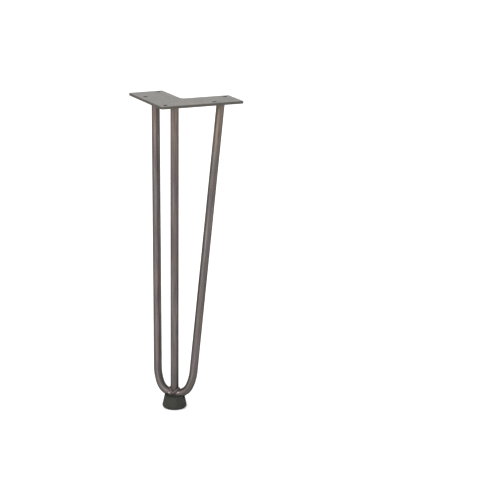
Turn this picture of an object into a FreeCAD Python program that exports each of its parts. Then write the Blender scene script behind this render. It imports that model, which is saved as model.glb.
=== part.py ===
import FreeCAD, Part

import math
import os

import Sketcher

# Hairpin table leg: an L-shaped mounting plate, a steel rod bent into a narrow U, a straight rod
# that stands on the bend, the weld beads that join them, and a rubber foot under the bend.
#
# Frame, in millimetres: +Z is up and is the normal of the plate's top face, which goes against the
# underside of the table top. The origin lies on that face, where the middle lines of the plate's
# two arms cross. The arms run along +X and +Y from the plate's outer corner. The leg is
# mirror-symmetric about the upright plane x = y.

SIZES = {
    # the whole leg, from the floor to the top of the plate
    "leg_height": 459.5,
    # mounting plate
    "arm_length": 126.5,
    "arm_width": 53.0,
    "plate_thickness": 4.0,
    "outer_corner_radius": 5.0,
    "inner_corner_radius": 6.0,
    "arm_end_radius": 1.5,
    "plate_edge_break": 0.4,
    # screw holes: each arm has one near its outer edge and one by its far inner corner
    "screw_hole_diameter": 6.0,
    "hole_edge_distance": 10.0,
    "arm_hole_step": 31.0,
    # rods: an end's setback is from the end of its arm, the insets are from the outer edges
    "rod_diameter": 12.0,
    "rod_end_setback": 20.5,
    "rod_end_inset": 34.0,
    "foot_inset": 34.0,
    # the bend: a flat nose, a tight shoulder each side of it, and a long lead into the legs
    "nose_radius": 38.5,
    "nose_half_turn": 12.0,
    "shoulder_radius": 21.0,
    "shoulder_turn": 53.5,
    "lead_radius": 66.0,
    # weld beads
    "plate_weld_size": 3.0,
    "plate_weld_root": 0.5,
    "bend_weld_radius": 1.9,
    # the centre rod's saddle stops this far above the middle of the bend
    "saddle_toe": 1.5,
    # rubber foot
    "sole_thickness": 15.8,
    "groove_clearance": 0.2,
    "weld_to_rubber_gap": 0.3,
    "foot_base_radius": 19.0,
    "foot_top_radius": 14.7,
    "foot_base_rounding": 4.0,
    "foot_top_rounding": 0.8,
}

# Derived sizes, written in the sheet's values
ROD_RADIUS = "sizes.rod_diameter / 2"
CORNER = "sizes.arm_width / 2"
FOOT_MIDDLE = f"(sizes.foot_inset - {CORNER})"
END_REACH = "(sizes.arm_length - sizes.rod_end_setback)"
END_FAR = f"({END_REACH} - {CORNER})"
END_NEAR = f"(sizes.rod_end_inset - {CORNER})"
BEND_HEIGHT = f"(sizes.sole_thickness + sizes.groove_clearance + {ROD_RADIUS})"
BEND_LEVEL = f"({BEND_HEIGHT} - sizes.leg_height)"
UNDERSIDE = "(-sizes.plate_thickness)"
FOOT_HEIGHT = f"({BEND_HEIGHT} - sizes.bend_weld_radius - sizes.weld_to_rubber_gap)"
GROOVE_RADIUS = f"({ROD_RADIUS} + sizes.groove_clearance)"
# The hairpin's own plane leans away from the plate's outer corner as it rises
HALF_SPREAD = f"(({END_REACH} - sizes.rod_end_inset) / sqrt(2))"
LEAN = f"(({END_REACH} + sizes.rod_end_inset - 2 * sizes.foot_inset) / sqrt(2))"
RISE = f"({UNDERSIDE} - {BEND_LEVEL})"
PLANE_RISE = f"hypot({LEAN}; {RISE})"
PLANE_TILT = f"atan2({LEAN}; {RISE})"
# Each leg of the hairpin is swept past the plate's underside by this much, then cut level
OVERSHOOT = "sizes.rod_diameter"
TRIM_REACH = "(4 * sizes.arm_length)"

doc = FreeCAD.newDocument("hairpin_leg")
sheet = doc.addObject("Spreadsheet::Sheet", "sizes")


def fill_sheet():
    """Writes each size and its name into a row of the sheet."""
    for row, (name, value) in enumerate(SIZES.items(), start=1):
        sheet.set(f"A{row}", name)
        sheet.set(f"B{row}", str(value))
        sheet.setAlias(f"B{row}", name)
    doc.recompute()


def value_of(expression):
    """Works out an expression in the sheet's values, for places where a number is needed."""
    return float(sheet.evalExpression(expression))


def bind(item, **expressions):
    """Ties properties of an object to expressions in the sheet's values."""
    for name, expression in expressions.items():
        item.setExpression(name, expression)


def place(item, x="0", y="0", z="0", turns=("0", "0", "0")):
    """Ties an object's place, and its yaw, pitch and roll, to expressions."""
    yaw, pitch, roll = turns
    item.setExpression(
        "Placement",
        f"create(<<placement>>; create(<<vector>>; {x}; {y}; {z});"
        f" create(<<rotation>>; {yaw}; {pitch}; {roll}))",
    )


def new_body(name):
    """Adds a body whose name is also its label."""
    body = doc.addObject("PartDesign::Body", name)
    body.Label = name
    return body


def origin_part(body, role):
    """Finds one of a body's own origin planes or axes."""
    return next(item for item in body.Origin.OriginFeatures if item.Role == role)


def new_sketch(body, plane, name):
    """Adds a sketch that lies on one of the body's origin planes."""
    sketch = body.newObject("Sketcher::SketchObject", name)
    sketch.AttachmentSupport = (origin_part(body, plane), [""])
    sketch.MapMode = "FlatFace"
    return sketch


def constrain(sketch, kind, *where, size=None, name=None):
    """Adds a constraint, and ties its size to an expression where one is given."""
    if size is None:
        return sketch.addConstraint(Sketcher.Constraint(kind, *where))
    index = sketch.addConstraint(Sketcher.Constraint(kind, *where, value_of(size)))
    sketch.renameConstraint(index, name)
    sketch.setExpression(f"Constraints.{name}", size)
    return index


def circle_sketch(body, plane, name, radius):
    """Adds a sketch with one circle about the body's origin."""
    sketch = new_sketch(body, plane, name)
    round_edge = Part.Circle(FreeCAD.Vector(), FreeCAD.Vector(0, 0, 1), value_of(radius))
    circle = sketch.addGeometry(round_edge)
    constrain(sketch, "Coincident", circle, 3, -1, 1)
    constrain(sketch, "Radius", circle, size=radius, name="edge_radius")
    return sketch


def polygon_sketch(sketch, corners):
    """Draws a closed polygon of straight lines and joins their ends; returns the lines' numbers."""
    points = [FreeCAD.Vector(x, y, 0) for x, y in corners]
    lines = [
        sketch.addGeometry(Part.LineSegment(start, end))
        for start, end in zip(points, points[1:] + points[:1])
    ]
    for line, following in zip(lines, lines[1:] + lines[:1]):
        constrain(sketch, "Coincident", line, 2, following, 1)
    return lines


def edges_where(shape, test):
    """Names the edges of a shape whose middle passes a test."""
    names = []
    for number, edge in enumerate(shape.Edges, start=1):
        middle = edge.valueAt((edge.FirstParameter + edge.LastParameter) / 2)
        if test(edge, middle):
            names.append(f"Edge{number}")
    return names


def add_fillet(body, name, base, edges, radius):
    """Rounds the named edges of a body's feature."""
    fillet = body.newObject("PartDesign::Fillet", name)
    fillet.Base = (base, edges)
    bind(fillet, Radius=radius)
    doc.recompute()
    return fillet


def cut_away(label, base, *tools):
    """Cuts tools from an object one after another; the last cut gets the label."""
    for number, tool in enumerate(tools, start=1):
        cut = doc.addObject("Part::Cut", f"{label}_cut_{number}")
        cut.Base = base
        cut.Tool = tool
        base = cut
    base.Label = label
    return base


# Mounting plate


def make_plate():
    """The L-shaped plate: its outline, rounded corners, softened rims and five screw holes."""
    body = new_body("mounting_plate")
    outline = new_sketch(body, "XY_Plane", "plate_outline")
    low = -value_of(CORNER)
    inner = value_of(CORNER)
    far = low + value_of("sizes.arm_length")
    lines = polygon_sketch(
        outline,
        [(low, low), (far, low), (far, inner), (inner, inner), (inner, far), (low, far)],
    )
    front, right_end, right_inner, left_inner, left_end, back = lines
    for line in (front, right_inner, left_end):
        constrain(outline, "Horizontal", line)
    for line in (right_end, left_inner, back):
        constrain(outline, "Vertical", line)
    constrain(outline, "DistanceX", front, 1, -1, 1, size=CORNER, name="corner_x")
    constrain(outline, "DistanceY", front, 1, -1, 1, size=CORNER, name="corner_y")
    constrain(outline, "DistanceX", front, 1, front, 2, size="sizes.arm_length", name="arm_x")
    constrain(outline, "DistanceY", back, 2, back, 1, size="sizes.arm_length", name="arm_y")
    constrain(outline, "DistanceY", right_end, 1, right_end, 2, size="sizes.arm_width", name="width_y")
    constrain(outline, "DistanceX", left_end, 2, left_end, 1, size="sizes.arm_width", name="width_x")

    sheet_metal = body.newObject("PartDesign::Pad", "sheet_metal")
    sheet_metal.Profile = outline
    sheet_metal.Reversed = True
    bind(sheet_metal, Length="sizes.plate_thickness")
    doc.recompute()

    rounded = sheet_metal
    corners = (
        ("outer_corner", "sizes.outer_corner_radius", lambda x, y: x < 0 and y < 0 and abs(x - y) < 1),
        ("inner_corner", "sizes.inner_corner_radius", lambda x, y: x > 0 and abs(x - y) < 1),
        ("arm_ends", "sizes.arm_end_radius", lambda x, y: abs(x - y) > 1),
    )
    for name, radius, is_there in corners:
        upright = edges_where(
            rounded.Shape,
            lambda edge, middle: is_upright(edge) and is_there(middle.x, middle.y),
        )
        rounded = add_fillet(body, name, rounded, upright, radius)

    rims = edges_where(
        rounded.Shape,
        lambda edge, middle: not is_upright(edge),
    )
    softened = add_fillet(body, "softened_rims", rounded, rims, "sizes.plate_edge_break")

    holes = new_sketch(body, "XY_Plane", "screw_holes")
    corner = holes.addGeometry(Part.Point(FreeCAD.Vector(low, low, 0)), True)
    constrain(holes, "DistanceX", corner, 1, -1, 1, size=CORNER, name="corner_x")
    constrain(holes, "DistanceY", corner, 1, -1, 1, size=CORNER, name="corner_y")
    for name, reach, inset in screw_hole_places():
        middle = FreeCAD.Vector(low + value_of(reach), low + value_of(inset), 0)
        radius = value_of("sizes.screw_hole_diameter / 2")
        circle = holes.addGeometry(Part.Circle(middle, FreeCAD.Vector(0, 0, 1), radius))
        constrain(holes, "DistanceX", corner, 1, circle, 3, size=reach, name=f"{name}_x")
        constrain(holes, "DistanceY", corner, 1, circle, 3, size=inset, name=f"{name}_y")
        constrain(holes, "Diameter", circle, size="sizes.screw_hole_diameter", name=f"{name}_width")

    drilled = body.newObject("PartDesign::Pocket", "drilled_holes")
    drilled.Profile = holes
    drilled.Type = "ThroughAll"
    doc.recompute()
    if drilled.Shape.Volume >= softened.Shape.Volume:
        drilled.Reversed = True
        doc.recompute()
    return body


def is_upright(edge):
    """Tells whether an edge runs straight up."""
    span = edge.BoundBox
    return span.ZLength > 0.5 and span.XLength < 0.01 and span.YLength < 0.01


def screw_hole_places():
    """Name, reach and inset of each screw hole from the plate's outer corner, arm by arm."""
    edge = "sizes.hole_edge_distance"
    far = "(sizes.arm_length - sizes.hole_edge_distance)"
    inner = "(sizes.arm_width - sizes.hole_edge_distance)"
    near = "(sizes.arm_length - sizes.hole_edge_distance - sizes.arm_hole_step)"
    return (
        ("corner_hole", edge, edge),
        ("x_arm_outer_hole", near, edge),
        ("x_arm_inner_hole", far, inner),
        ("y_arm_outer_hole", edge, near),
        ("y_arm_inner_hole", inner, far),
    )


# Hairpin rod


def left_of(heading):
    """The direction a quarter turn to the left of a heading."""
    return FreeCAD.Vector(-math.sin(heading), math.cos(heading), 0)


def arc_along(start, heading, radius, turn):
    """An arc that leaves a point along a heading and turns left; returns it with its far end."""
    middle = start + left_of(heading) * radius
    round_edge = Part.Circle(middle, FreeCAD.Vector(0, 0, 1), radius)
    first = heading - math.pi / 2
    arc = Part.ArcOfCircle(round_edge, first, first + turn)
    end = middle - left_of(heading + turn) * radius
    return arc, end, heading + turn


def lead_turn(start, heading, radius, target):
    """How far an arc turns before the straight line that leaves it points at the target."""
    middle = start + left_of(heading) * radius
    reach = target - middle
    bearing = math.atan2(reach.y, reach.x)
    tangent_at = bearing - math.acos(radius / reach.Length)
    return tangent_at + math.pi / 2 - heading


def hairpin_tube(name, radius):
    """A round bar along the hairpin's middle line: half the bend and one leg, then mirrored.

    The body's own plane is the hairpin's plane: X along the bend, Z up the legs, with the lowest
    point of the middle line at the body's origin.
    """
    body = new_body(name)
    path = new_sketch(body, "XZ_Plane", f"{name}_path")
    target = FreeCAD.Vector(value_of(HALF_SPREAD), value_of(PLANE_RISE), 0)
    nose, point, heading = arc_along(
        FreeCAD.Vector(),
        0.0,
        value_of("sizes.nose_radius"),
        math.radians(value_of("sizes.nose_half_turn")),
    )
    shoulder, point, heading = arc_along(
        point,
        heading,
        value_of("sizes.shoulder_radius"),
        math.radians(value_of("sizes.shoulder_turn")),
    )
    lead_radius = value_of("sizes.lead_radius")
    turn = lead_turn(point, heading, lead_radius, target)
    lead, point, heading = arc_along(point, heading, lead_radius, turn)
    along = FreeCAD.Vector(math.cos(heading), math.sin(heading), 0)
    leg_end = target + along * value_of(OVERSHOOT)
    nose, shoulder, lead = [path.addGeometry(arc) for arc in (nose, shoulder, lead)]
    leg = path.addGeometry(Part.LineSegment(point, leg_end))
    end_mark = path.addGeometry(Part.Point(target), True)

    constrain(path, "Coincident", nose, 1, -1, 1)
    constrain(path, "PointOnObject", nose, 3, -2)
    for before, after in ((nose, shoulder), (shoulder, lead), (lead, leg)):
        constrain(path, "Tangent", before, 2, after, 1)
    constrain(path, "Radius", nose, size="sizes.nose_radius", name="nose_radius")
    constrain(path, "Radius", shoulder, size="sizes.shoulder_radius", name="shoulder_radius")
    constrain(path, "Radius", lead, size="sizes.lead_radius", name="lead_radius")
    add_turn(path, nose, "nose_half_turn")
    add_turn(path, shoulder, "shoulder_turn")
    constrain(path, "DistanceX", -1, 1, end_mark, 1, size=HALF_SPREAD, name="half_spread")
    constrain(path, "DistanceY", -1, 1, end_mark, 1, size=PLANE_RISE, name="plane_rise")
    constrain(path, "PointOnObject", end_mark, 1, leg)
    constrain(path, "Distance", end_mark, 1, leg, 2, size=OVERSHOOT, name="overshoot")

    section = circle_sketch(body, "YZ_Plane", f"{name}_section", radius)
    half = body.newObject("PartDesign::AdditivePipe", f"{name}_half")
    half.Profile = section
    half.Spine = (path, [""])
    half.Mode = "Frenet"
    doc.recompute()

    whole = body.newObject("PartDesign::Mirrored", f"{name}_whole")
    whole.Originals = [half]
    whole.MirrorPlane = (origin_part(body, "YZ_Plane"), [""])
    body.Tip = whole
    place(body, FOOT_MIDDLE, FOOT_MIDDLE, BEND_LEVEL, ("-45", "0", f"-{PLANE_TILT}"))
    return body


def add_turn(sketch, arc, alias):
    """Sets how far an arc turns."""
    turn = math.radians(SIZES[alias])
    index = sketch.addConstraint(Sketcher.Constraint("Angle", arc, turn))
    sketch.renameConstraint(index, alias)
    sketch.setExpression(f"Constraints.{alias}", f"sizes.{alias} * 1 deg")


def make_trim_block():
    """All that lies above the plate's underside, which levels the rods' ends and the beads."""
    block = doc.addObject("Part::Box", "above_underside")
    bind(block, Length=TRIM_REACH, Width=TRIM_REACH, Height=TRIM_REACH)
    place(block, f"-{TRIM_REACH} / 2", f"-{TRIM_REACH} / 2", UNDERSIDE)
    return block


# Centre rod


def make_centre_rod(hairpin):
    """The straight rod, with the saddle in its lower end that fits over the bend."""
    bar = doc.addObject("Part::Cylinder", "centre_bar")
    bind(bar, Radius=ROD_RADIUS, Height=f"{RISE} - sizes.saddle_toe")
    place(bar, FOOT_MIDDLE, FOOT_MIDDLE, f"{BEND_LEVEL} + sizes.saddle_toe")
    return cut_away("centre_rod", bar, hairpin)


# Weld beads


def make_plate_weld(label, rod, block, x, y):
    """A round bead in the corner between a rod's end and the plate's underside."""
    ring = doc.addObject("Part::Torus", f"{label}_ring")
    bind(ring, Radius1=f"{ROD_RADIUS} + sizes.plate_weld_root", Radius2="sizes.plate_weld_size")
    place(ring, x, y, UNDERSIDE)
    return cut_away(label, ring, rod, block)


def make_bend_weld(hairpin, centre_rod):
    """The bead along the saddle: two half-ellipses that cross in a V on each side of the bend."""
    beads = []
    for side, tilt, start in (("right", "-45", "270"), ("left", "-135", "270")):
        seam = doc.addObject("Part::Ellipse", f"{side}_seam")
        bind(seam, MajorRadius=f"{ROD_RADIUS} * sqrt(2)", MinorRadius=ROD_RADIUS)
        seam.Angle1 = float(start)
        seam.Angle2 = 90.0
        place(seam, FOOT_MIDDLE, FOOT_MIDDLE, BEND_LEVEL, ("-45", tilt, "0"))
        beads.append(sweep_round(f"{side}_bead", seam, "sizes.bend_weld_radius"))
    for side, sign in (("front", "-"), ("rear", "")):
        tip = doc.addObject("Part::Sphere", f"{side}_tip")
        bind(tip, Radius="sizes.bend_weld_radius")
        across = f"({sign}{ROD_RADIUS} / sqrt(2))"
        place(tip, f"{FOOT_MIDDLE} + {across}", f"{FOOT_MIDDLE} + {across}", BEND_LEVEL)
        beads.append(tip)
    bead = doc.addObject("Part::MultiFuse", "bend_bead")
    bead.Shapes = beads
    return cut_away("bend_weld", bead, hairpin, centre_rod)


def sweep_round(name, path, radius):
    """A round bar of a given radius along a path object's one edge."""
    doc.recompute()
    edge = path.Shape.Edges[0]
    section = doc.addObject("Part::Circle", f"{name}_section")
    bind(section, Radius=radius)
    start = edge.valueAt(edge.FirstParameter)
    ahead = edge.tangentAt(edge.FirstParameter)
    section.Placement = FreeCAD.Placement(start, FreeCAD.Rotation(FreeCAD.Vector(0, 0, 1), ahead))
    bar = doc.addObject("Part::Sweep", name)
    bar.Sections = [section]
    bar.Spine = (path, ["Edge1"])
    bar.Solid = True
    bar.Frenet = True
    return bar


# Rubber foot


def make_foot(groove):
    """The flared puck, turned about its own axis, with a groove across its top for the bend."""
    body = new_body("foot_blank")
    profile = new_sketch(body, "XZ_Plane", "foot_profile")
    base, top = value_of("sizes.foot_base_radius"), value_of("sizes.foot_top_radius")
    height = value_of(FOOT_HEIGHT)
    lines = polygon_sketch(profile, [(0, 0), (base, 0), (top, height), (0, height)])
    floor, flank, crown, axis = lines
    constrain(profile, "Coincident", floor, 1, -1, 1)
    constrain(profile, "Horizontal", floor)
    constrain(profile, "Horizontal", crown)
    constrain(profile, "Vertical", axis)
    constrain(profile, "DistanceX", floor, 1, floor, 2, size="sizes.foot_base_radius", name="base")
    constrain(profile, "DistanceX", crown, 2, crown, 1, size="sizes.foot_top_radius", name="top")
    constrain(profile, "DistanceY", axis, 2, axis, 1, size=FOOT_HEIGHT, name="foot_height")

    turned = body.newObject("PartDesign::Revolution", "turned_puck")
    turned.Profile = profile
    turned.ReferenceAxis = (profile, ["V_Axis"])
    turned.Angle = 360.0
    doc.recompute()

    base_rim = edges_where(turned.Shape, lambda edge, middle: is_rim(edge) and middle.z < 0.01)
    rounded = add_fillet(body, "base_rounding", turned, base_rim, "sizes.foot_base_rounding")
    top_level = rounded.Shape.BoundBox.ZMax - 0.01
    top_rim = edges_where(rounded.Shape, lambda edge, middle: is_rim(edge) and middle.z > top_level)
    add_fillet(body, "top_rounding", rounded, top_rim, "sizes.foot_top_rounding")
    place(body, FOOT_MIDDLE, FOOT_MIDDLE, "-sizes.leg_height")
    return cut_away("rubber_foot", body, groove)


def is_rim(edge):
    """Tells whether an edge is a level circle."""
    return edge.BoundBox.ZLength < 0.01 and isinstance(edge.Curve, Part.Circle)


# The leg


def make_leg():
    """Builds every piece, in the order in which each needs the ones before it."""
    plate = make_plate()
    block = make_trim_block()
    hairpin = cut_away("hairpin_rod", hairpin_tube("hairpin_bar", ROD_RADIUS), block)
    centre_rod = make_centre_rod(hairpin)
    ends = (
        ("x_arm_weld", hairpin, END_FAR, END_NEAR),
        ("y_arm_weld", hairpin, END_NEAR, END_FAR),
        ("centre_weld", centre_rod, FOOT_MIDDLE, FOOT_MIDDLE),
    )
    plate_welds = [make_plate_weld(label, rod, block, x, y) for label, rod, x, y in ends]
    bend_weld = make_bend_weld(hairpin, centre_rod)
    foot = make_foot(hairpin_tube("groove_bar", GROOVE_RADIUS))
    doc.recompute()
    return [plate, hairpin, centre_rod, *plate_welds, bend_weld, foot]


def check_all(pieces):
    """Stops if any object failed, or if a piece's shape is empty or not sound."""
    for item in doc.Objects:
        if {"Invalid", "Error"} & set(item.State):
            raise RuntimeError(f"{item.Label} failed: {item.State}")
    for piece in pieces:
        if piece.Shape.isNull() or not piece.Shape.isValid() or not piece.Shape.Solids:
            raise RuntimeError(f"{piece.Label} has no sound solid")


def write_parts(pieces):
    """Writes each piece to the file that its label names."""
    os.makedirs("parts", exist_ok=True)
    for piece in pieces:
        piece.Shape.exportStep(f"parts/{piece.Label}.step")
        print(f"{piece.Label}: {len(piece.Shape.Solids)} solid, {piece.Shape.Volume:.1f} mm3")


fill_sheet()
leg_pieces = make_leg()
check_all(leg_pieces)
write_parts(leg_pieces)
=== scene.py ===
import math

import bpy
import numpy as np
from mathutils import Matrix, Vector


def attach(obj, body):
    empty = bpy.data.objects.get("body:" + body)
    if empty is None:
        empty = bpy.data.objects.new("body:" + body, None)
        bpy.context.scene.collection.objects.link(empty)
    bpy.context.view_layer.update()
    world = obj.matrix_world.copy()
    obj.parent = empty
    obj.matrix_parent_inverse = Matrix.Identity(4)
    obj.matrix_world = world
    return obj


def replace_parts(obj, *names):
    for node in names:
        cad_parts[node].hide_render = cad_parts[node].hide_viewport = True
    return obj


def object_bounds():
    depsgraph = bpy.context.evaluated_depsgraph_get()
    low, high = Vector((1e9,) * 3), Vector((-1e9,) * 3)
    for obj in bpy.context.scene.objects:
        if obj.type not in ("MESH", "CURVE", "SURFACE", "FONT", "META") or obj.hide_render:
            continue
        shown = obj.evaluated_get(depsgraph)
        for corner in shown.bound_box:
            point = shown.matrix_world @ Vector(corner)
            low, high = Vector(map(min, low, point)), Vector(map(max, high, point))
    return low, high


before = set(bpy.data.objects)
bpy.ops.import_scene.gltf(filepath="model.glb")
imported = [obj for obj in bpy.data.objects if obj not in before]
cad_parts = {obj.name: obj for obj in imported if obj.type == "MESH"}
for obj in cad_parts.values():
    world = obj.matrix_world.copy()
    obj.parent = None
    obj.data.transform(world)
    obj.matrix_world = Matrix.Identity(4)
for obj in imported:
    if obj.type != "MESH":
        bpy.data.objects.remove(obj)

# The looks of a hairpin table leg: bars and weld beads as fine surfaces with the grain of raw steel,
# and procedural finishes for the plate and the rubber foot. Lengths are in metres.

MM = 0.001
CAD_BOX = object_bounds()

# Sizes and places that the bars and beads share with the solid model
BAR_RADIUS = 6 * MM
UNDERSIDE = -4 * MM
BEND_MIDDLE = np.array([7.5, 7.5, -437.5]) * MM
CENTRE_TOP = np.array([7.5, 7.5, -4]) * MM
X_ARM_TOP = np.array([79.5, 7.5, -4]) * MM
Y_ARM_TOP = np.array([7.5, 79.5, -4]) * MM
HALF_SPREAD = 36 * math.sqrt(2) * MM
NOSE_RADIUS, NOSE_TURN = 38.5 * MM, math.radians(12)
SHOULDER_RADIUS, SHOULDER_TURN = 21 * MM, math.radians(53.5)
LEAD_RADIUS = 66 * MM
SADDLE_TOE = 1.5 * MM

# The bend's plane: one direction across the hairpin, one up along it, and the plane's normal
ACROSS = np.array([1, -1, 0]) / math.sqrt(2)
PLANE_TOP = (X_ARM_TOP + Y_ARM_TOP) / 2
UP_LENGTH = float(np.linalg.norm(PLANE_TOP - BEND_MIDDLE))
UP = (PLANE_TOP - BEND_MIDDLE) / UP_LENGTH
OUT_OF_PLANE = np.cross(ACROSS, UP)

# The turn from the nose to the end of a shoulder, and the centre of a shoulder's arc in that plane
TURNED = NOSE_TURN + SHOULDER_TURN
SHOULDER_S = (NOSE_RADIUS - SHOULDER_RADIUS) * math.sin(NOSE_TURN)
SHOULDER_H = NOSE_RADIUS - (NOSE_RADIUS - SHOULDER_RADIUS) * math.cos(NOSE_TURN)

# How finely the bars are divided, and how far the search for the saddle's level looks up
BEND_STEP = 0.7 * MM
LEG_POINTS = 60
HAIRPIN_SIDES = 72
CENTRE_SIDES, CENTRE_RINGS = 96, 80
SADDLE_SEARCH, HALVINGS = 14 * MM, 30

# Beads under the plate: size, points round the bar and over the section, ripples, how far the arc runs
# past its toes, and how deep the section's hidden corner lies in the bar and in the plate
PLATE_BEAD = 3.5 * MM
PLATE_BEAD_POINTS, PLATE_BEAD_SECTION = 240, 15
PLATE_BEAD_RIPPLES = 26
PAST_TOE = 0.06
IN_BAR, IN_PLATE = 0.4 * MM, 0.2 * MM

# The bead along the saddle: half its thickness and half its width, how much more it stands out at the
# sides, points round the bar and over the section, ripples, its lift off the bar, and how many
# neighbours each side round off its V
SEAM_BEAD_RADIUS, SEAM_BEAD_REACH = 1.9 * MM, 3.0 * MM
SEAM_BEAD_SIDES = 1.1 * MM
SEAM_BEAD_POINTS, SEAM_BEAD_SECTION = 420, 28
SEAM_BEAD_RIPPLES = 34
SEAM_LIFT = 0.15 * MM
SEAM_ROUNDING = 9

# The centre bar's pattern is the hairpin's from further along, past the painted highlights at the bend
CENTRE_PATTERN = 0.9

# Places that the finishes mark: the walls of each screw hole at two depths, painted dark as shade, the
# heated spots under the plate, the seam's middle, the mouths of the foot's groove, painted nearly black as
# shade, and the heights over which the foot's top is painted darker as shade
HOLE_SHADE_SPOTS = [
    np.array([x, y, z]) * MM
    for x, y in ((-16.5, -16.5), (59, -16.5), (90, 16.5), (-16.5, 59), (16.5, 90))
    for z in (-1, -3)
]
HEATED = [CENTRE_TOP, X_ARM_TOP, Y_ARM_TOP]
SEAM_MIDDLE = BEND_MIDDLE + np.array([0, 0, 3]) * MM
GROOVE_MOUTHS = [BEND_MIDDLE + side * MM * ACROSS - np.array([0, 0, 4.4]) * MM for side in (-14.4, 14.4)]
FOOT_TOP = (-441.2 * MM, -440.0 * MM)

# Painted glints, highlights painted into the bend's colour beside the centre bar's foot: middle along the
# bar, slope, level across the bar, and strength
PAINTED_GLINTS = ((-4.4 * MM, 0.134, -1.1 * MM, 0.8), (6.2 * MM, -0.29, -0.7 * MM, 0.5))

# The studio: the floor's half side, its chalk and its glow where it is seen, and the strengths with
# which the floor and the dome light the leg
WHITE = (1, 1, 1, 1)
FLOOR_HALF = 40.0
FLOOR_CHALK = (0.8, 0.8, 0.8, 1)
FLOOR_GLOW, FLOOR_LIGHT = 0.4, 0.35
DOME_LIGHT = 0.3

# Lamps: name, the direction they shine from, strength, width in degrees, and whether the bars mirror
# them. Only the key is mirrored, which keeps the bars' edges dark.
LAMPS = (
    ("key", (-0.9, -0.6, 0.45), 2.0, 60, True),
    ("fill", (0.75, -0.75, 0.3), 0.8, 50, False),
    ("back", (0.384, 0.923, 0.3), 1.7, 40, False),
    ("top", (-0.1, -0.2, 1), 1.3, 50, False),
)

# The photograph's view: the picture's side, focal length and shift in pixels, the camera's turn and
# tilt in radians, the point that it looks at, and its distance from there
PICTURE, FOCAL, SHIFT = 500, 1765.25, (75.2, 7.45)
YAW, PITCH = -0.3942, 0.2648
TARGET = np.array([8.09, 8.09, -229.7]) * MM
DISTANCE = 2566.7 * MM


# Shader expressions


class Signal:
    """A node's output. Arithmetic with other signals or plain numbers adds the Math nodes for it."""

    def __init__(self, finish, socket):
        self.finish = finish
        self.socket = socket

    def _math(self, operation, first, second):
        return self.finish.add("ShaderNodeMath", {"operation": operation}, {0: first, 1: second})

    def __add__(self, other):
        return self._math("ADD", self, other)

    def __radd__(self, other):
        return self._math("ADD", other, self)

    def __sub__(self, other):
        return self._math("SUBTRACT", self, other)

    def __rsub__(self, other):
        return self._math("SUBTRACT", other, self)

    def __mul__(self, other):
        return self._math("MULTIPLY", self, other)

    def __rmul__(self, other):
        return self._math("MULTIPLY", other, self)


class Finish:
    """A material or world and its nodes."""

    def __init__(self, owner):
        self.owner = owner
        owner.use_nodes = True
        self.tree = owner.node_tree
        self.tree.nodes.clear()

    def add(self, kind, settings=None, sockets=None, output=0):
        """Adds one node: its settings first, then the values or links of its sockets."""
        node = self.tree.nodes.new(kind)
        for name, value in (settings or {}).items():
            setattr(node, name, value)
        for name, value in (sockets or {}).items():
            if isinstance(value, Signal):
                self.tree.links.new(value.socket, node.inputs[name])
            else:
                node.inputs[name].default_value = value
        return Signal(self, node.outputs[output]) if node.outputs else node

    def place(self):
        """The point's place in the object, in metres."""
        return self.add("ShaderNodeTexCoord", output="Object")

    def own(self):
        """The place that the mesh holds for each of its points."""
        return self.add("ShaderNodeAttribute", {"attribute_name": "own"}, output="Vector")

    def part(self, vector, axis):
        """One coordinate of a vector."""
        return self.add("ShaderNodeSeparateXYZ", None, {"Vector": vector}, axis)

    def noise(self, place, scale, detail, roughness):
        """Fractal noise, 0 to 1, with a given number of grains per metre."""
        sockets = {"Vector": place, "Scale": scale, "Detail": detail, "Roughness": roughness}
        return self.add("ShaderNodeTexNoise", None, sockets)

    def stretched(self, place, factors, shift=(0, 0, 0)):
        """The place with each coordinate multiplied by its factor, then moved."""
        sockets = {"Vector": place, "Scale": factors, "Location": shift}
        return self.add("ShaderNodeMapping", {"vector_type": "POINT"}, sockets)

    def span(self, value, low, high, to_low=0.0, to_high=1.0):
        """The value carried smoothly from one range to another, and held at its ends."""
        sockets = {"Value": value, "From Min": low, "From Max": high, "To Min": to_low, "To Max": to_high}
        return self.add("ShaderNodeMapRange", {"interpolation_type": "SMOOTHSTEP", "clamp": True}, sockets)

    def blend(self, share, first, second, kind="MIX"):
        """Two colours mixed by a share."""
        settings = {"data_type": "RGBA", "blend_type": kind, "clamp_factor": True}
        return self.add("ShaderNodeMix", settings, {0: share, 6: first, 7: second}, 2)

    def coats(self, tone, layers):
        """Display colours laid over a tone one after another, each by its own share."""
        for share, shade in layers:
            tone = self.blend(share, tone, colour(*shade))
        return tone

    def bump(self, height, depth, strength):
        """A normal tilted by a height signal, with its depth in metres."""
        return self.add("ShaderNodeBump", None, {"Height": height, "Distance": depth, "Strength": strength})

    def near(self, place, point, inner, outer):
        """1 within the inner distance of a point, and 0 past the outer distance."""
        sockets = {0: place, 1: tuple(point)}
        distance = self.add("ShaderNodeVectorMath", {"operation": "DISTANCE"}, sockets, "Value")
        return self.span(distance, inner, outer, 1.0, 0.0)

    def near_any(self, place, points, inner, outer):
        """The nearness to several points, added up."""
        return sum(self.near(place, point, inner, outer) for point in points)

    def patch(self, value, middle, reach):
        """1 within about a third of the reach of the middle, falling smoothly to 0 at the reach."""
        away = self.add("ShaderNodeMath", {"operation": "ABSOLUTE"}, {0: value - middle})
        return self.span(away, 0.35 * reach, reach, 1.0, 0.0)

    def surface(self, **sockets):
        """Closes the material with one Principled surface."""
        named = {name.replace("_", " "): value for name, value in sockets.items()}
        shader = self.add("ShaderNodeBsdfPrincipled", None, named)
        self.add("ShaderNodeOutputMaterial", None, {"Surface": shader})
        return self.owner


def colour(red, green, blue):
    """A display colour, 0 to 255, as linear light by the display's own curve, with full alpha."""
    parts = [c / 255 for c in (red, green, blue)]
    linear = [c / 12.92 if c <= 0.04045 else ((c + 0.055) / 1.055) ** 2.4 for c in parts]
    return (*linear, 1.0)


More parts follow.
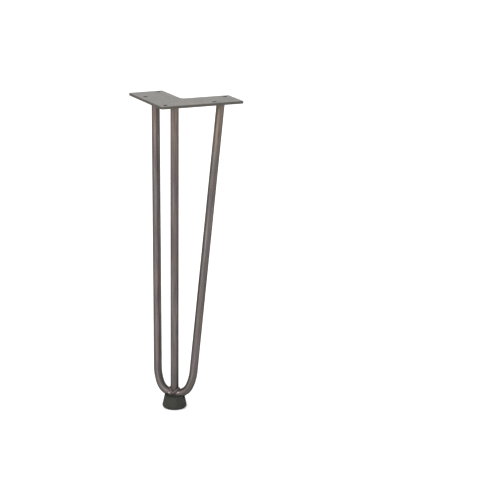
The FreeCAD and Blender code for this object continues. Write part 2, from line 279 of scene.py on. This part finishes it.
def new_finish(name):
    """A new material's nodes."""
    return Finish(bpy.data.materials.new(name))


# Surfaces from grids


def full_turn(count):
    """Angles evenly spaced once round."""
    return np.linspace(0, 2 * math.pi, count, endpoint=False)


def grid_faces(rows, columns, rows_closed=False):
    """Quads between neighbouring rows of a grid whose columns run round and close."""
    across = np.arange(columns)
    beside = (across + 1) % columns
    row = np.arange(rows if rows_closed else rows - 1)[:, None] * columns
    above = (row + columns) % (rows * columns)
    quads = [row + across, row + beside, above + beside, above + across]
    return np.stack(quads, axis=-1).reshape(-1, 4)


def cap_faces(first, columns, centre, turned):
    """Triangles from one row of the grid to a centre point."""
    across = np.arange(columns)
    beside = (across + 1) % columns
    ends = (beside, across) if turned else (across, beside)
    return np.stack([first + ends[0], first + ends[1], np.full(columns, centre)], axis=-1)


def make_piece(name, points, faces, material, own=None):
    """A smooth mesh from points and lists of faces; own is a place for each point, made for its finish."""
    mesh = bpy.data.meshes.new(name)
    mesh.from_pydata(points.tolist(), [], [face for part in faces for face in part.tolist()])
    mesh.polygons.foreach_set("use_smooth", np.ones(len(mesh.polygons), bool))
    if own is not None:
        layer = mesh.attributes.new("own", "FLOAT_VECTOR", "POINT")
        layer.data.foreach_set("vector", np.ascontiguousarray(own, np.float32).ravel())
    mesh.materials.append(material)
    mesh.update()
    piece = bpy.data.objects.new(name, mesh)
    bpy.context.scene.collection.objects.link(piece)
    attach(piece, "root")
    return piece


def lead_end_angle():
    """Direction of the straight leg: the line from the bar's end that touches the lead's circle."""
    centre_s = SHOULDER_S + (SHOULDER_RADIUS - LEAD_RADIUS) * math.sin(TURNED)
    centre_h = SHOULDER_H - (SHOULDER_RADIUS - LEAD_RADIUS) * math.cos(TURNED)
    to_end = (HALF_SPREAD - centre_s, UP_LENGTH - centre_h)
    return math.atan2(to_end[1], to_end[0]) + math.asin(LEAD_RADIUS / math.hypot(*to_end))


def half_bend():
    """Middle line of half the hairpin, from the nose to the plate, in the bend's plane.

    The direction turns evenly along each arc (arc length = radius times turn) and stays the same along
    the leg. Each point is the sum of the steps before it, along the direction half way through the step.
    """
    last = lead_end_angle()
    turns = np.array([0, NOSE_TURN, TURNED, last])
    arcs = np.array([NOSE_RADIUS, SHOULDER_RADIUS, LEAD_RADIUS]) * np.diff(turns)
    knots = np.concatenate([[0], np.cumsum(arcs)])
    pieces = [
        np.linspace(start, end, 1 + math.ceil((end - start) / BEND_STEP))[1:]
        for start, end in zip(knots, knots[1:])
    ]
    along = np.concatenate([[0], *pieces])
    angle = np.interp(along, knots, turns)
    middle = (angle[1:] + angle[:-1]) / 2
    steps = np.diff(along)
    s = np.concatenate([[0], np.cumsum(steps * np.cos(middle))])
    h = np.concatenate([[0], np.cumsum(steps * np.sin(middle))])
    leg_length = math.hypot(HALF_SPREAD - s[-1], UP_LENGTH - h[-1])
    extra = np.linspace(0, leg_length, LEG_POINTS)[1:]
    s = np.concatenate([s, s[-1] + extra * math.cos(last)])
    h = np.concatenate([h, h[-1] + extra * math.sin(last)])
    along = np.concatenate([along, along[-1] + extra])
    angle = np.concatenate([angle, np.full(len(extra), last)])
    return s, h, along, angle


def bar_place(around, along):
    """A place in the bar as if it were straight: two coordinates across it and one along it."""
    across = (BAR_RADIUS * np.cos(around), BAR_RADIUS * np.sin(around))
    return np.stack(np.broadcast_arrays(*across, along), axis=-1)


def hairpin_bar(material):
    """The bent bar: circles of its radius round each point of the middle line, square to it.

    point = middle + radius * (cos a * inward normal + sin a * the plane's normal). The end circles slide
    along the leg until they lie in the plate's underside.
    """
    s, h, along, angle = half_bend()
    s = np.concatenate([-s[:0:-1], s])
    h = np.concatenate([h[:0:-1], h])
    along = np.concatenate([-along[:0:-1], along])
    angle = np.concatenate([-angle[:0:-1], angle])
    middle = BEND_MIDDLE + s[:, None] * ACROSS + h[:, None] * UP
    tangent = np.cos(angle)[:, None] * ACROSS + np.sin(angle)[:, None] * UP
    normal = -np.sin(angle)[:, None] * ACROSS + np.cos(angle)[:, None] * UP
    around = full_turn(HAIRPIN_SIDES)
    spoke = np.cos(around)[None, :, None] * normal[:, None] + np.sin(around)[None, :, None] * OUT_OF_PLANE
    points = middle[:, None] + BAR_RADIUS * spoke
    for row in (0, -1):
        slide = (UNDERSIDE - points[row, :, 2]) / tangent[row, 2]
        points[row] += slide[:, None] * tangent[row]
    rows, columns = points.shape[:2]
    own = bar_place(around, along[:, None])
    faces = [
        grid_faces(rows, columns),
        cap_faces(0, columns, rows * columns, True),
        cap_faces((rows - 1) * columns, columns, rows * columns + 1, False),
    ]
    points, own = (
        np.concatenate([grid.reshape(-1, 3), grid[[0, -1]].mean(axis=1)]) for grid in (points, own)
    )
    piece = make_piece("hairpin_bar", points, faces, material, own)
    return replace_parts(piece, "hairpin_rod")


def to_bend(points):
    """How far each point lies from the hairpin's middle line near the bend.

    In the bend's plane the nearest arc is the nose or a shoulder, and the distance to it is the distance
    to the arc's centre less its radius. The distance off the plane is the other side of the triangle.
    """
    offset = points - BEND_MIDDLE
    s, h = np.abs(offset @ ACROSS), offset @ UP
    off = offset @ OUT_OF_PLANE
    to_nose = np.hypot(s, h - NOSE_RADIUS) - NOSE_RADIUS
    to_shoulder = np.hypot(s - SHOULDER_S, h - SHOULDER_H) - SHOULDER_RADIUS
    past_nose = np.arctan2(s, NOSE_RADIUS - h) > NOSE_TURN
    return np.hypot(np.where(past_nose, to_shoulder, to_nose), off)


def saddle_level(x, y):
    """Height where a plumb line through x, y first meets the bend, found by halving; not below the toe."""
    toe = BEND_MIDDLE[2] + SADDLE_TOE
    low = np.full(np.shape(x), toe)
    high = np.full(np.shape(x), toe + SADDLE_SEARCH)
    for _ in range(HALVINGS):
        level = (low + high) / 2
        inside = to_bend(np.stack([x, y, level], axis=-1)) < BAR_RADIUS
        low = np.where(inside, level, low)
        high = np.where(inside, high, level)
    return low


def centre_bar(material):
    """The straight bar: circles from the plate down to the saddle, whose foot follows the bend.

    Each column of points runs straight down to its own level on the saddle. One more ring, half way in,
    and a middle point close the foot, each on the saddle too.
    """
    around = full_turn(CENTRE_SIDES)
    x = BEND_MIDDLE[0] + BAR_RADIUS * np.cos(around)
    y = BEND_MIDDLE[1] + BAR_RADIUS * np.sin(around)
    foot = saddle_level(x, y)
    share = np.linspace(0, 1, CENTRE_RINGS)[:, None]
    z = UNDERSIDE + (foot - UNDERSIDE) * share
    points = np.stack(np.broadcast_arrays(x, y, z), axis=-1)
    inner = np.stack([(x + BEND_MIDDLE[0]) / 2, (y + BEND_MIDDLE[1]) / 2], axis=-1)
    inner_level = saddle_level(inner[:, 0], inner[:, 1])
    ring = np.concatenate([inner, inner_level[:, None]], axis=1)
    points = np.concatenate([points, ring[None]])
    rows, columns = points.shape[:2]
    middles = np.array([CENTRE_TOP, CENTRE_TOP])
    middles[1, 2] = saddle_level(*CENTRE_TOP[:2])
    own = bar_place(around, points[..., 2] + CENTRE_PATTERN).reshape(-1, 3)
    own = np.concatenate([own, [[0, 0, level + CENTRE_PATTERN] for level in middles[:, 2]]])
    faces = [
        grid_faces(rows, columns)[:, ::-1],
        cap_faces(0, columns, rows * columns, False),
        cap_faces((rows - 1) * columns, columns, rows * columns + 1, True),
    ]
    points = np.concatenate([points.reshape(-1, 3), middles])
    piece = make_piece("centre_bar", points, faces, material, own)
    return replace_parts(piece, "centre_rod")


def ripple(turn, count, across):
    """Weld ripples: each rises and falls as a parabola, 0 to 1, over its share of the turn.

    Towards the bead's edges it shifts by a third of a ripple, which bends it to a crescent, and its
    height varies between a half and the whole as a slow sine.
    """
    phase = turn * count / (2 * math.pi) + 0.35 * across**2
    saw = phase - np.floor(phase)
    return saw * (1 - saw) * 4 * (0.75 + 0.25 * np.sin(3 * turn + 1.3 * count))


def plate_bead(name, node, middle, lean, material, seed):
    """A bead in the corner between a bar's end and the plate.

    Round the bar, a quarter arc runs from a toe on the plate to a toe on the bar. Two slow sines of 5 and
    4 percent and ripples of 9 percent change its size, and it is 14 percent fuller in its middle than at
    its toes. Two points inside the corner close the section.
    """
    turn = full_turn(PLATE_BEAD_POINTS)[:, None]
    arc = np.linspace(-PAST_TOE, 1 + PAST_TOE, PLATE_BEAD_SECTION)[None, :]
    across = 2 * arc - 1
    uneven = 1 + 0.05 * np.sin(2 * turn + seed) + 0.04 * np.sin(5 * turn + 2 * seed)
    size = PLATE_BEAD * uneven * (1 + 0.09 * (ripple(turn, PLATE_BEAD_RIPPLES, across) - 0.6))
    bulge = 0.86 + 0.14 * np.cos(math.pi * across / 2)
    out = BAR_RADIUS + size * bulge * np.cos(arc * math.pi / 2)
    down = size * bulge * np.sin(arc * math.pi / 2)
    inside = np.full_like(turn, BAR_RADIUS - IN_BAR)
    out = np.concatenate([out, inside, inside], axis=1)
    down = np.concatenate([down, down[:, -1:], np.full_like(turn, -IN_PLATE)], axis=1)
    points = np.empty((*out.shape, 3))
    points[..., 0] = middle[0] + out * np.cos(turn) - lean[0] * down
    points[..., 1] = middle[1] + out * np.sin(turn) - lean[1] * down
    points[..., 2] = UNDERSIDE - down
    faces = [grid_faces(*out.shape, rows_closed=True)]
    piece = make_piece(name, points.reshape(-1, 3), faces, material)
    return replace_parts(piece, node)


def seam_bead(material):
    """The bead along the saddle: an oval section carried along the line where the two bars meet.

    At each turn round the centre bar the seam's height is that of the saddle, and the V at the front and
    rear is rounded by averaging over a few neighbours. The oval reaches further along the bars than out
    from them. It stands out more at the two sides, by the square of the cosine of the angle from there,
    and two slow sines of 6 and 4 percent and ripples of 12 percent change its size.
    """
    turn = full_turn(SEAM_BEAD_POINTS)
    x, y = np.cos(turn), np.sin(turn)
    level = saddle_level(BEND_MIDDLE[0] + BAR_RADIUS * x, BEND_MIDDLE[1] + BAR_RADIUS * y)
    shifts = range(-SEAM_ROUNDING, SEAM_ROUNDING + 1)
    level = sum(np.roll(level, shift) for shift in shifts) / len(shifts)
    reach = BAR_RADIUS + SEAM_LIFT
    path = np.stack([BEND_MIDDLE[0] + reach * x, BEND_MIDDLE[1] + reach * y, level], axis=-1)
    ahead = np.roll(path, -1, axis=0) - np.roll(path, 1, axis=0)
    ahead /= np.linalg.norm(ahead, axis=1)[:, None]
    outward = np.stack([x, y, np.zeros_like(x)], axis=-1)
    beside = np.cross(ahead, outward)
    beside /= np.linalg.norm(beside, axis=1)[:, None]
    outward = np.cross(beside, ahead)
    around = full_turn(SEAM_BEAD_SECTION)
    across = np.sin(around)[None, :]
    swell = 1 + 0.06 * np.sin(3 * turn + 0.8) + 0.04 * np.sin(7 * turn + 2.1)
    size = swell[:, None] * (0.97 + 0.12 * (ripple(turn[:, None], SEAM_BEAD_RIPPLES, across) - 0.5))
    beside_tip = ((x * ACROSS[0] + y * ACROSS[1]) ** 2)[:, None]
    out = size * (SEAM_BEAD_RADIUS + SEAM_BEAD_SIDES * beside_tip) * np.cos(around)
    down = size * SEAM_BEAD_REACH * np.sin(around)
    points = path[:, None] + out[..., None] * outward[:, None] + down[..., None] * beside[:, None]
    own = np.stack(np.broadcast_arrays(np.cos(around), np.sin(around), turn[:, None]), axis=-1)
    faces = [grid_faces(*out.shape, rows_closed=True)]
    piece = make_piece("seam_bead", points.reshape(-1, 3), faces, material, own.reshape(-1, 3))
    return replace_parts(piece, "bend_weld")


# Finishes


def bar_finish():
    """Raw bar: long streaks of grey, mauve and tan scale, fine draw marks, tint beside the welds, and
    painted highlights on the bend.

    The mesh holds each point's place in the straightened bar, so noise that is drawn out in its third
    coordinate makes streaks that follow the bend.
    """
    finish = new_finish("raw bar steel")
    own, place = finish.own(), finish.place()
    streaks = finish.noise(finish.stretched(own, (1, 1, 0.035)), 520, 4, 0.6)
    fine = finish.noise(finish.stretched(own, (1, 1, 0.012), (0.3, 0, 0)), 1700, 3, 0.6)
    patches = finish.noise(finish.stretched(own, (1, 1, 0.25), (0, 0.7, 0)), 75, 3, 0.5)
    drift = finish.noise(finish.stretched(own, (0.5, 0.5, 1), (0, 0, 0.4)), 16, 2, 0.5)
    hues = finish.noise(finish.stretched(own, (1, 1, 0.02), (0, 0.2, 0)), 260, 2, 0.5)
    grain = finish.noise(place, 2600, 2, 0.6)
    inward, along, height = finish.part(own, 0), finish.part(own, 2), finish.part(place, 2)

    # Mauve and grey by turns, with tan patches, a warmer tan near the plate that is weaker on the y
    # arm's leg, dark and pale streaks, and draw marks
    warm = finish.span(height + 0.08 * (patches - 0.5), -0.115, -0.03)
    warm = warm * finish.span(along, -0.3, -0.2, 0.35, 0.75)
    tone = finish.blend(finish.span(hues, 0.42, 0.58), colour(101, 90, 91), colour(98, 95, 94))
    tone = finish.coats(tone, [
        (finish.span(drift, 0.4, 0.7, 0.0, 0.5), (104, 95, 88)),
        (finish.span(patches, 0.48, 0.72, 0.0, 0.6), (110, 99, 92)),
        (warm, (121, 109, 98)),
        (finish.span(streaks, 0.5, 0.7, 0.0, 0.85), (76, 69, 69)),
        (finish.span(streaks, 0.28, 0.45, 0.8, 0.0), (130, 125, 122)),
        (finish.span(fine, 0.5, 0.72, 0.0, 0.55), (70, 64, 63)),
    ])

    # Round the bend a little darker and greyer, with brown heat tint that turns bluish at the seam
    low = finish.span(height, -0.425, -0.385, 1.0, 0.0)
    tone = finish.blend(low, tone, colour(235, 241, 239), "MULTIPLY")
    seam = finish.near(place, SEAM_MIDDLE, 6 * MM, 20 * MM)
    tint = finish.blend(finish.span(seam, 0.3, 0.95), colour(96, 84, 80), colour(84, 74, 75))
    tone = finish.blend(seam * 0.5, tone, tint)

    # Painted highlight low on the bend just above the foot, standing in for the floor's reflection, and
    # painted glints beside the seam
    painted_low_highlight = finish.patch(along, 1.5 * MM, 14 * MM) * finish.patch(inward, -2.8 * MM, 2.2 * MM)
    tone = finish.coats(tone, [(painted_low_highlight * 0.75, (176, 169, 164))])
    for middle, slope, level, share in PAINTED_GLINTS:
        painted_glint = finish.patch(along, middle, 5.2 * MM) * finish.patch(inward + slope * along, level, 1.2 * MM)
        painted_glint = finish.span(painted_glint + 0.5 * (grain - 0.5), 0.25, 0.75)
        tone = finish.coats(tone, [(painted_glint * share, (176, 165, 161))])

    rough = 0.34 + 0.16 * streaks + 0.1 * (grain - 0.5)
    relief = streaks * 0.5 + fine * 0.4 + grain * 0.2
    return finish.surface(
        Base_Color=tone, Metallic=0.9, Roughness=rough, Specular_IOR_Level=0.2,
        Specular_Tint=(0.02, 0.02, 0.02, 1), Normal=finish.bump(relief, 0.06 * MM, 0.6),
    )


def plate_finish():
    """Raw sheet: dull grey scale with faint cloudy mottling and rolling marks, and sheared edges painted
    darker, partly their own scale and partly painted shade.

    The faces' own direction tells top, edges and underside apart. Heat marks the underside at the welds.
    """
    finish = new_finish("raw sheet steel")
    place = finish.place()
    upward = finish.part(finish.add("ShaderNodeNewGeometry", output="Normal"), 2)
    clouds = finish.noise(place, 55, 4, 0.55)
    blotches = finish.noise(finish.stretched(place, (1, 1, 1), (0.2, 0.5, 0)), 190, 3, 0.6)
    rolled = finish.noise(finish.stretched(place, (0.05, 1, 1)), 900, 3, 0.6)
    grain = finish.noise(place, 2400, 2, 0.6)
    flat = finish.span(upward, 0.4, 0.9)
    under = finish.span(upward, -0.4, -0.9)
    painted_hole_shade = finish.near_any(place, HOLE_SHADE_SPOTS, 3.4 * MM, 4.2 * MM)
    heat = finish.near_any(place, HEATED, 8 * MM, 22 * MM)
    tone = finish.blend(finish.span(clouds, 0.35, 0.65), colour(136, 134, 130), colour(144, 141, 138))
    tone = finish.coats(tone, [
        (finish.span(blotches, 0.5, 0.75, 0.0, 0.5), (125, 122, 117)),
        (finish.span(rolled, 0.5, 0.8, 0.0, 0.35), (118, 116, 112)),
        # Sheared edges darker: partly their own scale, partly painted shade
        (1 - flat - under, (98, 95, 90)),
        # Screw hole walls painted dark: painted shade inside each hole
        (painted_hole_shade * 0.6, (58, 56, 54)),
        (heat * under * 0.7, (112, 92, 84)),
    ])
    rough = 0.5 + 0.15 * blotches + 0.1 * (grain - 0.5)
    relief = blotches * 0.4 + rolled * 0.3 + grain * 0.3
    return finish.surface(
        Base_Color=tone, Metallic=0.35, Roughness=rough, Specular_IOR_Level=0.2,
        Specular_Tint=(0.15, 0.14, 0.14, 1), Normal=finish.bump(relief, 0.05 * MM, 0.6),
    )


def weld_finish():
    """Bare weld metal: brownish grey with darker grain, and a painted highlight along the seam bead's lower
    edge.

    The seam bead's mesh holds how far down its section each point lies; the other beads hold nothing.
    """
    finish = new_finish("bare weld metal")
    place = finish.place()
    tint = finish.noise(place, 260, 3, 0.6)
    grain = finish.noise(place, 1800, 3, 0.6)
    # A pale painted highlight along the seam bead's lower edge
    toe = finish.span(finish.part(finish.own(), 1) + 0.7 * (tint - 0.5), 0.3, 0.7)
    tone = finish.blend(finish.span(tint, 0.35, 0.65), colour(84, 75, 75), colour(96, 87, 86))
    tone = finish.coats(tone, [
        (finish.span(grain, 0.55, 0.8, 0.0, 0.5), (74, 66, 67)),
        (toe * 0.4, (158, 147, 143)),
    ])
    return finish.surface(
        Base_Color=tone, Metallic=0.8, Roughness=0.4 + 0.25 * grain, Specular_IOR_Level=0.3,
        Normal=finish.bump(grain, 0.05 * MM, 0.6),
    )


def rubber_finish():
    """Moulded rubber: charcoal with a green cast, a fine matt grain, and dust worked into the sides.

    The top is painted darker as shade under the bend, and the mouths of the groove are painted nearly black
    as shade.
    """
    finish = new_finish("moulded rubber")
    place = finish.place()
    clouds = finish.noise(place, 90, 3, 0.5)
    dust = finish.noise(finish.stretched(place, (1, 1, 0.5), (0.1, 0, 0)), 420, 4, 0.65)
    grain = finish.noise(place, 3000, 2, 0.6)
    tone = finish.blend(finish.span(clouds, 0.35, 0.65), colour(55, 56, 52), colour(62, 63, 58))
    tone = finish.coats(tone, [
        (finish.span(dust, 0.55, 0.8, 0.0, 0.4), (78, 78, 73)),
        # Painted shade: the top darker under the bend, and the mouths of the groove nearly black
        (finish.span(finish.part(place, 2), *FOOT_TOP, 0.0, 0.8), (44, 45, 42)),
        *((finish.near(place, mouth, 2.0 * MM, 4.4 * MM) * 0.95, (8, 8, 8)) for mouth in GROOVE_MOUTHS),
    ])
    return finish.surface(
        Base_Color=tone, Roughness=0.62 + 0.2 * dust, Specular_IOR_Level=0.12,
        Normal=finish.bump(grain * 0.7 + dust * 0.5, 0.06 * MM, 0.7),
    )


# Studio


def seen_directly(finish):
    """1 for rays that end in the picture, straight, through something clear or off a gloss, else 0."""
    rays = ("Is Camera Ray", "Is Transmission Ray", "Is Glossy Ray")
    return sum(finish.add("ShaderNodeLightPath", output=ray) for ray in rays)


def floor_finish():
    """White where it is seen, with the leg's shadow; an even grey for bounced light; clear from below."""
    finish = new_finish("white floor")
    chalk = finish.add("ShaderNodeBsdfDiffuse", None, {"Color": FLOOR_CHALK})
    glow = finish.add("ShaderNodeEmission", None, {"Color": WHITE, "Strength": FLOOR_GLOW})
    white = finish.add("ShaderNodeAddShader", None, {0: chalk, 1: glow})
    grey = finish.add("ShaderNodeEmission", None, {"Color": WHITE, "Strength": FLOOR_LIGHT})
    lit = finish.add("ShaderNodeMixShader", None, {0: seen_directly(finish), 1: grey, 2: white})
    clear = finish.add("ShaderNodeBsdfTransparent")
    behind = finish.add("ShaderNodeNewGeometry", output="Backfacing")
    both = finish.add("ShaderNodeMixShader", None, {0: behind, 1: lit, 2: clear})
    finish.add("ShaderNodeOutputMaterial", None, {"Surface": both})
    return finish.owner


def make_floor(level):
    """A flat square sheet at the foot's base, facing up."""
    mesh = bpy.data.meshes.new("floor")
    corners = [(x * FLOOR_HALF, y * FLOOR_HALF, level) for x, y in ((-1, -1), (1, -1), (1, 1), (-1, 1))]
    mesh.from_pydata(corners, [], [(0, 1, 2, 3)])
    mesh.materials.append(floor_finish())
    floor = bpy.data.objects.new("floor", mesh)
    bpy.context.scene.collection.objects.link(floor)


def make_world():
    """An even dome: dim for lighting, white where it is seen."""
    world = bpy.data.worlds.new("studio")
    bpy.context.scene.world = world
    finish = Finish(world)
    dim = finish.add("ShaderNodeBackground", None, {"Color": WHITE, "Strength": DOME_LIGHT})
    white = finish.add("ShaderNodeBackground", None, {"Color": WHITE, "Strength": 1})
    dome = finish.add("ShaderNodeMixShader", None, {0: seen_directly(finish), 1: dim, 2: white})
    finish.add("ShaderNodeOutputWorld", None, {"Surface": dome})


def make_lamp(name, towards, strength, spread, mirrored):
    """A distant soft lamp that shines from the given direction."""
    lamp = bpy.data.lights.new(name, "SUN")
    lamp.energy = strength
    lamp.angle = math.radians(spread)
    stand = bpy.data.objects.new(name, lamp)
    stand.rotation_mode = "QUATERNION"
    stand.rotation_quaternion = Vector(towards).to_track_quat("Z", "Y")
    stand.visible_glossy = mirrored
    bpy.context.scene.collection.objects.link(stand)


def make_camera():
    """The photograph's view, level with its edges and shifted, because the leg is left of the middle."""
    forward = np.array([-math.sin(YAW) * math.cos(PITCH), math.cos(YAW) * math.cos(PITCH), -math.sin(PITCH)])
    right = np.array([math.cos(YAW), math.sin(YAW), 0])
    up = np.cross(right, forward)
    camera = bpy.data.cameras.new("camera")
    camera.lens = FOCAL / PICTURE * camera.sensor_width
    camera.shift_x, camera.shift_y = SHIFT[0] / PICTURE, SHIFT[1] / PICTURE
    camera.clip_start, camera.clip_end = 0.05, 200
    stand = bpy.data.objects.new("camera", camera)
    stand.rotation_mode = "QUATERNION"
    stand.rotation_quaternion = Matrix(np.stack([right, up, -forward], axis=1).tolist()).to_quaternion()
    stand.location = TARGET - forward * DISTANCE
    bpy.context.scene.collection.objects.link(stand)
    bpy.context.scene.camera = stand


def main():
    """Dresses the leg, then sets up the studio round it."""
    bar, weld = bar_finish(), weld_finish()
    hairpin_bar(bar)
    centre_bar(bar)
    lean = math.cos(lead_end_angle()) / math.sin(lead_end_angle())
    x_lean = (lean * ACROSS + UP) / UP[2]
    y_lean = (-lean * ACROSS + UP) / UP[2]
    plate_bead("x_arm_bead", "x_arm_weld", X_ARM_TOP, x_lean, weld, 0.4)
    plate_bead("y_arm_bead", "y_arm_weld", Y_ARM_TOP, y_lean, weld, 2.1)
    plate_bead("centre_bead", "centre_weld", CENTRE_TOP, (0, 0), weld, 3.7)
    seam_bead(weld)
    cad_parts["mounting_plate"].material_slots[0].material = plate_finish()
    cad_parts["rubber_foot"].material_slots[0].material = rubber_finish()
    make_floor(CAD_BOX[0].z)
    make_world()
    make_camera()
    for lamp in LAMPS:
        make_lamp(*lamp)
    bpy.context.scene.view_settings.view_transform = "Standard"


main()
